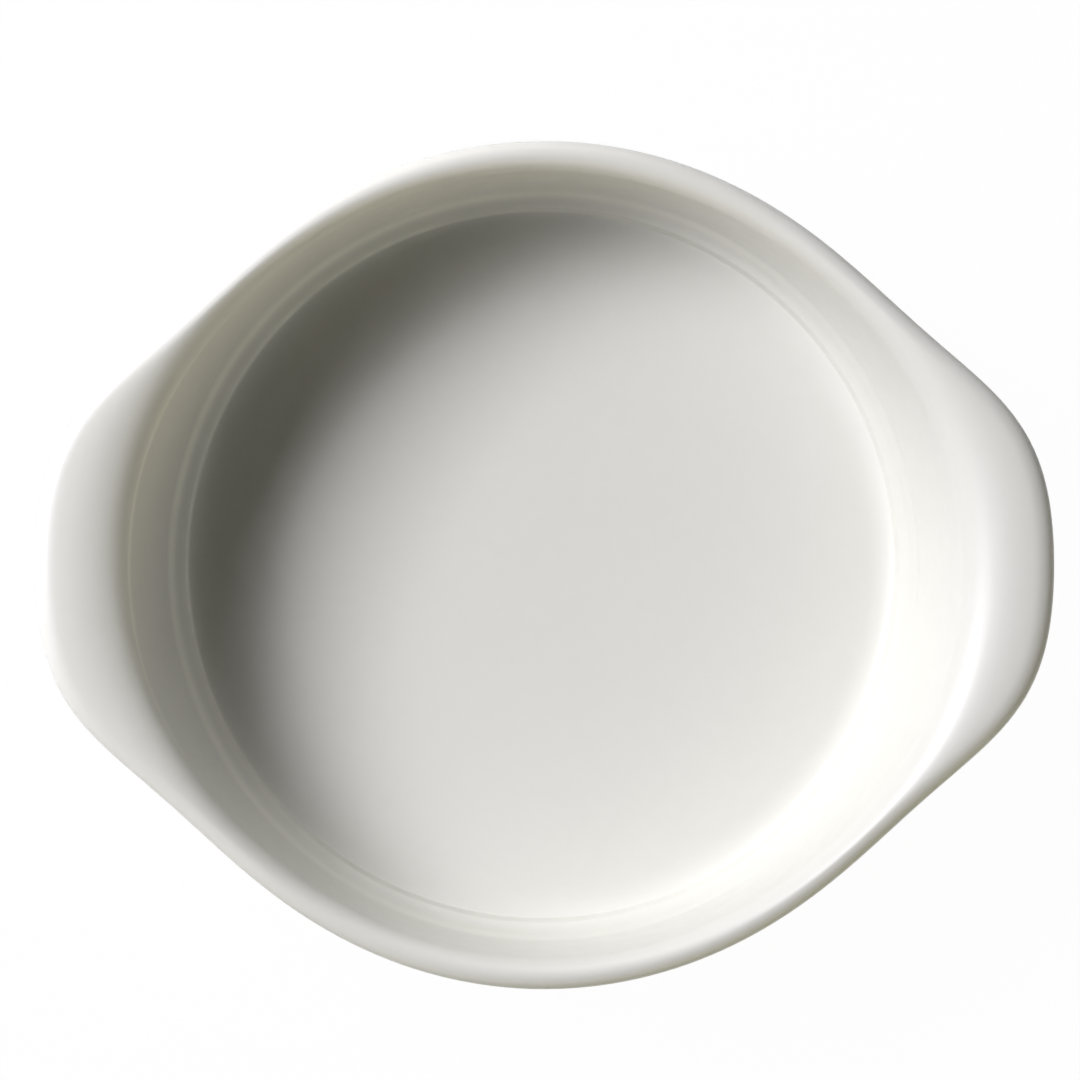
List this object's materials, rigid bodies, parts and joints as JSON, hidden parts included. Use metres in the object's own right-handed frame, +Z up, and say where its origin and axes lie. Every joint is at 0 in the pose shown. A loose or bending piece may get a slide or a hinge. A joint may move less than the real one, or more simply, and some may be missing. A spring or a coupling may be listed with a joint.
{
  "type": "gratin dish",
  "caption": "Round glazed stoneware baking dish with a nearly flat floor, steep walls, two raised lug handles on the rim and a bare foot ring.",
  "frame": {"origin": "centre of the plane that the foot ring stands on", "axes": "+X through the handles to the right of the picture, +Y to the top of the picture, +Z up"},
  "size_m": [0.1916, 0.16, 0.0495],
  "materials": {
    "clay": "bare buff stoneware, dry and slightly gritty",
    "glaze": "pale warm grey-white glaze, smooth satin gloss"
  },
  "bodies": {
    "root": {"bowl": "clay", "handle_left": "clay", "handle_right": "clay", "foot_ring": "clay", "glaze_coat": "glaze", "base_glaze": "glaze"}
  },
  "joints": []
}
